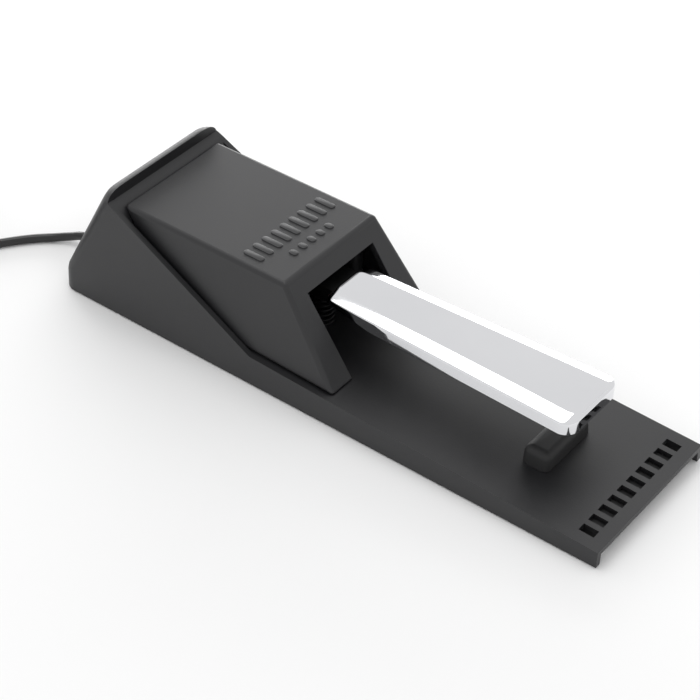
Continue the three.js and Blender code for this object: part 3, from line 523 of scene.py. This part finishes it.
coverShape = {
    "edge": 1.7,
    "halfAtFloor": 35.5,
    "lean": 0.12,  # each side leans in by this much per mm of height
    "foot": (-9.4, 12.4),  # y and z of the front face's foot
    "frontSlope": 0.6808,  # the front face goes back by this much per mm of height
    "frontTop": 17.9,
    "top": (52.2, 52.3),  # the top's edges lie above these, at its front edge and elsewhere
    "mouthHalf": 20.6,
    "mouthRound": 0.3,  # of the outer edges' round
    "sideNear": 0.3,
    "browNear": 1,
    "faceNear": 0.6,
    "mouthNear": 0.5,
}


# The outer edges, on the sides, the top or the front face's top, are rounder than the mouth's.
def coverEdges(a, b):
    weight = np.zeros(len(a))
    footY, footZ = coverShape["foot"]
    frontLow, topLow = coverShape["top"]
    for k in (a, b):
        half = coverShape["halfAtFloor"] - coverShape["lean"] * k[:, 2]
        face = footY + (k[:, 2] - footZ) * coverShape["frontSlope"]
        mouthSide = coverShape["mouthHalf"] + coverShape["mouthNear"]
        side = np.abs(k[:, 0]) > half - coverShape["sideNear"]
        brow = (k[:, 2] > frontLow) & (np.abs(k[:, 1] - coverShape["frontTop"]) < coverShape["browNear"])
        mouth = (np.abs(k[:, 1] - face) < coverShape["faceNear"]) & (np.abs(k[:, 0]) < mouthSide)
        outer = side | brow | (k[:, 2] > topLow)
        weight += np.where(outer, 1.0, np.where(mouth, coverShape["mouthRound"], hidden))
    return np.clip(weight / 2, 0, 1)


coverPiece = mouldedCopy("mouldedCover", "upper_cover", coverShape["edge"], coverEdges)
place(coverPiece, mouldedAbs, "base", "body", "upper_cover")
print("case and cover ready")

chromeLever = {
    "tip": -107.5,
    "rear": 11.3,
    "tipHalf": 17.45,
    "rearHalf": 13.25,
    "top": 41.2,
    "low": 33.6,
    "sheet": 1.5,
    "tipCorner": 6.0,
    "rearCorner": 4.0,
    "slope": 5.5,  # width of the gentle slope along each side of the top
    "drop": 1.5,  # height of that slope
    "end": 1.4,  # its width at the two ends
    "taperFrom": -11.7,  # the rim rises from here to the rear
    "taperRise": 4.0,
    "edge": (0.6, 0.5),  # the small round edge, at the sides and at the ends
    "edgeHigh": 0.75,  # height of that edge under the slope
    "arcSteps": 10,
    "straights": (14, 40, 10, 40),  # points along the tip, a side, the rear and the other side
}


# The lever's outline from above: four arcs joined by straight stretches, drawn in by one amount
# at its sides and another at its two ends.
def leverOutline(spec, side, end):
    tip, rear = spec["tip"] + end, spec["rear"] - end
    lean = (spec["tipHalf"] - spec["rearHalf"]) / (spec["rear"] - spec["tip"])
    tipHalf = spec["tipHalf"] - lean * (tip - spec["tip"]) - side
    rearHalf = spec["rearHalf"] + lean * (spec["rear"] - rear) - side
    tipCorner, rearCorner = (max(spec[k] - end, 0.8) for k in ("tipCorner", "rearCorner"))
    arcs = fillet([
        (-tipHalf, tip, tipCorner), (tipHalf, tip, tipCorner),
        (rearHalf, rear, rearCorner), (-rearHalf, rear, rearCorner),
    ], spec["arcSteps"]).reshape(4, -1, 2)
    points = []
    for k, count in enumerate(spec["straights"]):
        share = np.linspace(0, 1, count + 2)[1:-1, None]
        points += [arcs[k], arcs[k, -1] * (1 - share) + arcs[(k + 1) % 4, 0] * share]
    return np.vstack(points)


# The pressed shell as rings of (inset at the sides, inset at the ends, height, how far it follows
# the rim's rise): under the roof, down the inside, round the rim, up the outside, over a small
# round edge, up the gentle slope and on to the level top.
def leverSkin(spec):
    top, low, sheet, drop = spec["top"], spec["low"], spec["sheet"], spec["drop"]
    slope, end = spec["slope"], spec["end"]
    sideEdge, endEdge = spec["edge"]
    wallTop = top - drop - spec["edgeHigh"]
    rows = [
        (slope + 2, end + 2.5, top - sheet, 0), (slope, end + sheet, top - sheet, 0),
        (sheet + 0.5, sheet + 0.4, top - drop - sheet, 0), (sheet, sheet, top - drop - sheet - 0.5, 0),
        (sheet, sheet, low + 0.3, 1), (sheet - 0.3, sheet - 0.3, low, 1), (0.3, 0.3, low, 1),
        (0.08, 0.08, low + 0.1, 1), (0, 0, low + 0.35, 1), (0, 0, low + 0.5, 1),
        (0.02, 0.02, low + 2.4, 0.7), (0.04, 0.04, low + 4.0, 0.35), (0.05, 0.05, wallTop, 0),
    ]
    for turn in np.radians([15, 35, 55, 75]):  # the small round edge
        over, up = 1 - np.cos(turn), np.sin(turn)
        rows.append((0.05 + sideEdge * over, 0.05 + endEdge * over, wallTop + sideEdge * up, 0))
    for share in (0.04, 0.3, 0.6, 0.86, 0.95):  # the gentle slope
        climb = (drop + 0.1) * (share - 0.06 * share**6)
        inSide = sideEdge + share * (slope - sideEdge)
        inEnd = endEdge + share * (end - endEdge)
        rows.append((inSide, inEnd, top - drop - 0.1 + climb, 0))
    rows += [
        (slope + 0.35, end + 0.25, top - 0.02, 0), (slope + 0.9, end + 0.6, top, 0),
        (slope + 2, end + 2.5, top, 0),
    ]
    taper = spec["rear"] - spec["taperFrom"]
    rings = []
    for side, ends, height, follows in rows:
        outline = leverOutline(spec, side, ends)
        rise = spec["taperRise"] * np.clip((outline[:, 1] - spec["taperFrom"]) / taper, 0, 1)
        rings.append(np.column_stack([outline, height + follows * rise]))
    return ringsPiece("pressedLever", np.array(rings))


leverPiece = leverSkin(chromeLever)
sharpen(leverPiece, 50)
place(leverPiece, polishedChrome, "lever", "chrome", "lever_shell")
print("lever ready")

bumperShape = {
    "half": 15.5,
    "front": -98.0,
    "back": -86.0,
    "low": 9.5,
    "top": 17.4,
    "round": 3.2,
    "lean": 1.2,
    "corner": 2.6,
    "smallest": 0.5,  # corner radius at the top
}


# A moulded block with a soft top: rings of a rounded rectangle, drawn in over a quarter circle.
def bumperSkin(spec):
    quarter = np.linspace(0, np.pi / 2, 8)
    r = spec["round"]
    rows = [(0, spec["low"])]
    rows += [(r * (1 - np.cos(a)), spec["top"] - r * (1 - np.sin(a))) for a in quarter]
    rings = []
    for inset, z in rows:
        lean = spec["lean"] * (z - spec["low"]) / (spec["top"] - spec["low"])
        x = spec["half"] - inset - lean
        front, back = spec["front"] + inset, spec["back"] - inset
        corner = max(spec["corner"] - inset, spec["smallest"])
        ring = fillet([(-x, front, corner), (x, front, corner), (x, back, corner), (-x, back, corner)], 6)
        rings.append(np.column_stack([ring, np.full(len(ring), z)]))
    return ringsPiece("stopPad", rings)


bumperPiece = bumperSkin(bumperShape)
sharpen(bumperPiece, 50)
place(bumperPiece, mouldedRubber, "base", "rubber", "stop_bumper")

coilSpring = {
    "centre": (0, 22),
    "radius": 4.4,
    "wire": 0.58,  # radius
    "low": 14.0,
    "high": 35.8,
    "turns": 9.25,
    "closed": 0.9,  # turns at each end that lie nearly flat
    "flatRise": 0.05,  # share of the height that each of those climbs
    "pointsPerTurn": 40,
    "sides": 12,
}


# A compression spring with closed ends: the angle grows evenly, and the height hardly does over
# the first and last turn.
def springPath(spec):
    turns, closed = spec["turns"], spec["closed"]
    share = np.linspace(0, 1, int(turns * spec["pointsPerTurn"]))
    turn = share * turns * 2 * np.pi
    middle = np.clip((share * turns - closed) / (turns - 2 * closed), 0, 1)
    ends = np.clip(share * turns / closed, 0, 1) + np.clip((share - 1) * turns / closed + 1, 0, 1)
    climb = middle * (1 - 2 * spec["flatRise"]) + spec["flatRise"] * ends
    z = spec["low"] + spec["wire"] + climb * (spec["high"] - spec["low"] - 2 * spec["wire"])
    x = spec["centre"][0] + spec["radius"] * np.cos(turn)
    y = spec["centre"][1] + spec["radius"] * np.sin(turn)
    return np.stack([x, y, z], axis=1)


springRings = tubeRings(springPath(coilSpring), coilSpring["wire"], coilSpring["sides"])
springPiece = ringsPiece("woundSpring", springRings)
# The spring takes the dark steel as painted shade: it is drawn dark for the shadow it lies in inside the
# cover's mouth
place(springPiece, blackedSteel, "base", "black_steel", "return_spring")
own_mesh(springPiece)
print("bumper and spring ready")

# The ribbed bush: its flange and groove sit in the wall, and its ribs get smaller outwards
bush = {
    "start": (-12, 130.5, 6),
    "axis": (0, 1, 0),
    "profile": [
        (0, 0.5), (0, 3.5), (0.2, 3.7), (1.4, 3.7), (1.6, 3.5), (1.65, 2.9), (4.7, 2.9), (4.8, 4.1),
        (5.0, 4.3), (6.1, 4.3), (6.4, 4.1), (6.5, 3.5), (7.1, 3.4), (7.3, 2.9), (7.9, 2.9), (8.1, 3.25),
        (8.7, 3.15), (8.9, 2.7), (9.5, 2.7), (9.7, 3.0), (10.3, 2.9), (10.5, 2.5), (11.1, 2.5),
        (11.3, 2.75), (13.3, 2.45), (13.7, 2.2), (13.8, 1.92),
    ],
}
glandPiece = turnedPiece("cordBush", bush["profile"], bush["start"], bush["axis"])
sharpen(glandPiece)
place(glandPiece, mouldedRubber, "base", "rubber", "cord_gland")

# The plug's turned parts along one axis, each as (distance, radius)
plug = {
    "start": (-69.3, 210.9, 22.1),
    "axis": (0, 1, 0),
    "boot": [
        (0, 0.5), (0, 2.2), (0.3, 2.4), (2, 2.5), (2.2, 2.2), (2.8, 2.2), (3, 2.75), (4.6, 2.95),
        (4.8, 2.5), (5.4, 2.5), (5.6, 3.1), (7.2, 3.3), (7.4, 2.9), (8, 2.9), (8.2, 3.4), (9.6, 3.55),
        (11.7, 3.75), (12, 3.6), (12, 0.5),
    ],
    "barrel": [
        (12.3, 0.5), (12.3, 4.4), (12.7, 4.8), (14, 5.3), (15, 5.38), (16, 5.38), (16.2, 5.15),
        (16.6, 5.15), (16.8, 5.38), (30, 5.38), (30.2, 5.1), (30.8, 5.1), (31, 5.38), (34.6, 5.38),
        (35.5, 4.9), (35.7, 4.5), (35.7, 0.5),
    ],
    "sleeve": [(36, 0.5), (36, 3.0), (36.15, 3.17), (57.8, 3.17), (58, 3.0), (58, 0.5)],
    "insulator": [(58.3, 0.5), (58.3, 2.95), (58.4, 3.07), (59.3, 3.07), (59.4, 2.95), (59.4, 0.5)],
    "tip": [
        (59.7, 0.5), (59.7, 2.45), (60.2, 2.2), (60.8, 2.1), (61.4, 2.15), (62.2, 2.6), (62.9, 3.02),
        (63.6, 3.05), (64.4, 2.85), (65.4, 2.2), (66.2, 1.3), (66.6, 0.6), (66.75, 0.1),
    ],
}


# One turned part of the plug, with its material, record slot and the node it stands for.
def plugPart(name, profile, material, slot, node, sides=48):
    piece = turnedPiece(name, plug[profile], plug["start"], plug["axis"], sides)
    sharpen(piece)
    place(piece, material, "base", slot, node)
    return piece


plugBoot = plugPart("plugBoot", "boot", mouldedRubber, "rubber", "plug_boot")
plugBarrel = plugPart("plugBarrel", "barrel", phenolic, "switch", "plug_barrel", 64)
plugSleeve = plugPart("plugSleeve", "sleeve", nickelPlate, "nickel", "plug_sleeve")
plugRing = plugPart("plugInsulator", "insulator", phenolic, "switch", "plug_ring")
plugTip = plugPart("plugTip", "tip", nickelPlate, "nickel", "plug_tip")

strap = {
    "angle": 80,  # degrees round the coil
    "inner": 12.2,
    "outer": 30.9,
    "high": 17.2,
    "wide": 10,
    "thick": 0.5,
    "round": 3.0,
}


# A strap round the bundle: a rounded rectangle in radius and height, with an inner copy one
# thickness in, both as wide as the strap.
def strapSkin(spec):
    loops = []
    for inset in (0, spec["thick"]):
        near, far = spec["inner"] + inset, spec["outer"] - inset
        low, high, corner = inset, spec["high"] - inset, spec["round"] - inset
        ends = [(near, low), (far, low), (far, high), (near, high)]
        loops.append(fillet([(*end, corner) for end in ends], 8))
    outer, inner = loops
    rings = []
    for outline, side in ((outer, -0.5), (outer, 0.5), (inner, 0.5), (inner, -0.5)):
        across = np.full(len(outline), side * spec["wide"])
        rings.append(np.column_stack([outline[:, 0], across, outline[:, 1]]))
    rings.append(rings[0])
    rings = np.array(rings)
    turn = math.radians(spec["angle"])
    x = lead["centre"][0] + rings[..., 0] * math.cos(turn) - rings[..., 1] * math.sin(turn)
    y = lead["centre"][1] + rings[..., 0] * math.sin(turn) + rings[..., 1] * math.cos(turn)
    points = np.stack([x, y, rings[..., 2]], axis=-1)
    return meshPiece("hookStrap", points.reshape(-1, 3), gridFaces(5, len(outer)))


strapPiece = strapSkin(strap)
sharpen(strapPiece)
place(strapPiece, mouldedRubber, "base", "rubber", "cord_tie")
print("plug and strap ready")

# Plain raised bars on the cover's top, in two rows.
gripMark = {
    "top": 52.5,
    "rows": [(39.0, 10.0, 9), (28.0, 4.2, 5)],  # place along the top, bar's length, count
    "pitch": 5.6,
    "wide": 3.2,
    "layers": [(0, -0.6), (0, 0.15), (0.12, 0.32), (0.35, 0.4)],  # inset, height over the top
    "sides": 24,
}


# A rounded bar: a circle whose two halves are moved apart by its length less its width, carried
# up and drawn in at its top edge.
def raisedBars(name, spec):
    sides, wide = spec["sides"], spec["wide"]
    layers = len(spec["layers"])
    turn = np.linspace(0, 2 * np.pi, sides, endpoint=False)
    vertices, faces = [], []
    for y, long, count in spec["rows"]:
        apart = np.sign(np.sin(turn) + 1e-9) * (long - wide) / 2
        for i in range(count):
            x = (i - (count - 1) / 2) * spec["pitch"]
            start = len(vertices) * sides
            for inset, z in spec["layers"]:
                r = wide / 2 - inset
                ring = [x + r * np.cos(turn), y + r * np.sin(turn) + apart, np.full(sides, spec["top"] + z)]
                vertices.append(np.stack(ring, axis=1))
            faces += [[start + v for v in quad] for quad in gridFaces(layers, sides)]
            last = start + (layers - 1) * sides
            faces += [list(range(start, start + sides)), list(range(last, last + sides))]
    return meshPiece(name, np.vstack(vertices), faces)


markPiece = raisedBars("raisedBars", gripMark)
sharpen(markPiece, 60)
place(markPiece, mouldedAbs, "base", "body")
print("bars ready")

# The frame's own nodes that show keep their shape and take a finish
dress(zincSteel, *["base_screw_%d" % i for i in range(1, 7)], *["cover_screw_%d" % i for i in range(1, 5)])
dress(
    zincSteel, "shell_screw_front", "shell_screw_rear", "pivot_axle", "clip_left", "clip_right",
    "switch_leaf", "switch_bracket", "switch_screw_front", "switch_screw_rear", "bracket_screw",
    "clamp_screw_left", "clamp_screw_right",
)
dress(blackedSteel, "lever_arm")
dress(coatedSteel, "bottom_plate")
dress(naturalNylon, "bush_left", "bush_right", "spring_seat", "switch_plunger", "switch_actuator")
dress(phenolic, "switch_body")
dress(nickelPlate, "terminal_common", "terminal_contact")
dress(pressedFelt, "rest_pad")
dress(mouldedAbs, "cord_clamp")
dress(mouldedRubber, "foot_front", "foot_mid_left", "foot_mid_right", "foot_rear_left", "foot_rear_right")
dress(extrudedPvc, "cord_inner")
dress(redPvc, "wire_common")
dress(whitePvc, "wire_contact")
print("frame nodes dressed")

# Floor and light: a pale sweep, a low broad light behind the pedal and a soft one overhead
studio = {
    "floor": ("#f4f4f4", "#f8f8f8"),
    "floorHalf": 6,
    "air": 0.86,
    "panels": [
        ((1.30, 0.99, 0.34), (2.2, 0.5), 17),  # low behind, for the sheen on level faces
        ((0.2, 0.5, 1.9), (1.0, 1.0), 7),  # overhead, a little behind
    ],
}
floorMesh = bpy.data.meshes.new("floor")
half = studio["floorHalf"]
floorCorners = [(-half, -half, 0), (half, -half, 0), (half, half, 0), (-half, half, 0)]
floorMesh.from_pydata(floorCorners, [], [(0, 1, 2, 3)])
floorPiece = bpy.data.objects.new("floor", floorMesh)
bpy.context.collection.objects.link(floorPiece)
floorMesh.materials.append(surfaceMaterial("paperSweep", {
    "dark": studio["floor"][0], "light": studio["floor"][1], "cloudMm": 300, "grainMm": 3, "grainHigh": 0.01,
    "grainShows": 0.05, "rough": (0.7, 0.8),
}))
world = bpy.data.worlds.new("studioAir")
bpy.context.scene.world = world
world.use_nodes = True
world.node_tree.nodes.clear()
air = addNode(world.node_tree, "ShaderNodeBackground", Color=(1, 1, 1, 1), Strength=studio["air"])
addNode(world.node_tree, "ShaderNodeOutputWorld", Surface=air.outputs[0])
for number, (position, size, power) in enumerate(studio["panels"]):
    panel = bpy.data.lights.new("softPanel%d" % number, "AREA")
    panel.shape = "RECTANGLE"
    panel.size, panel.size_y = size
    panel.energy = power
    light = bpy.data.objects.new(panel.name, panel)
    bpy.context.collection.objects.link(light)
    light.location = position
    light.rotation_euler = (Vector((0, 0, 0)) - Vector(position)).to_track_quat("-Z", "Y").to_euler()
bpy.context.scene.view_settings.view_transform = "Standard"
print("studio ready")
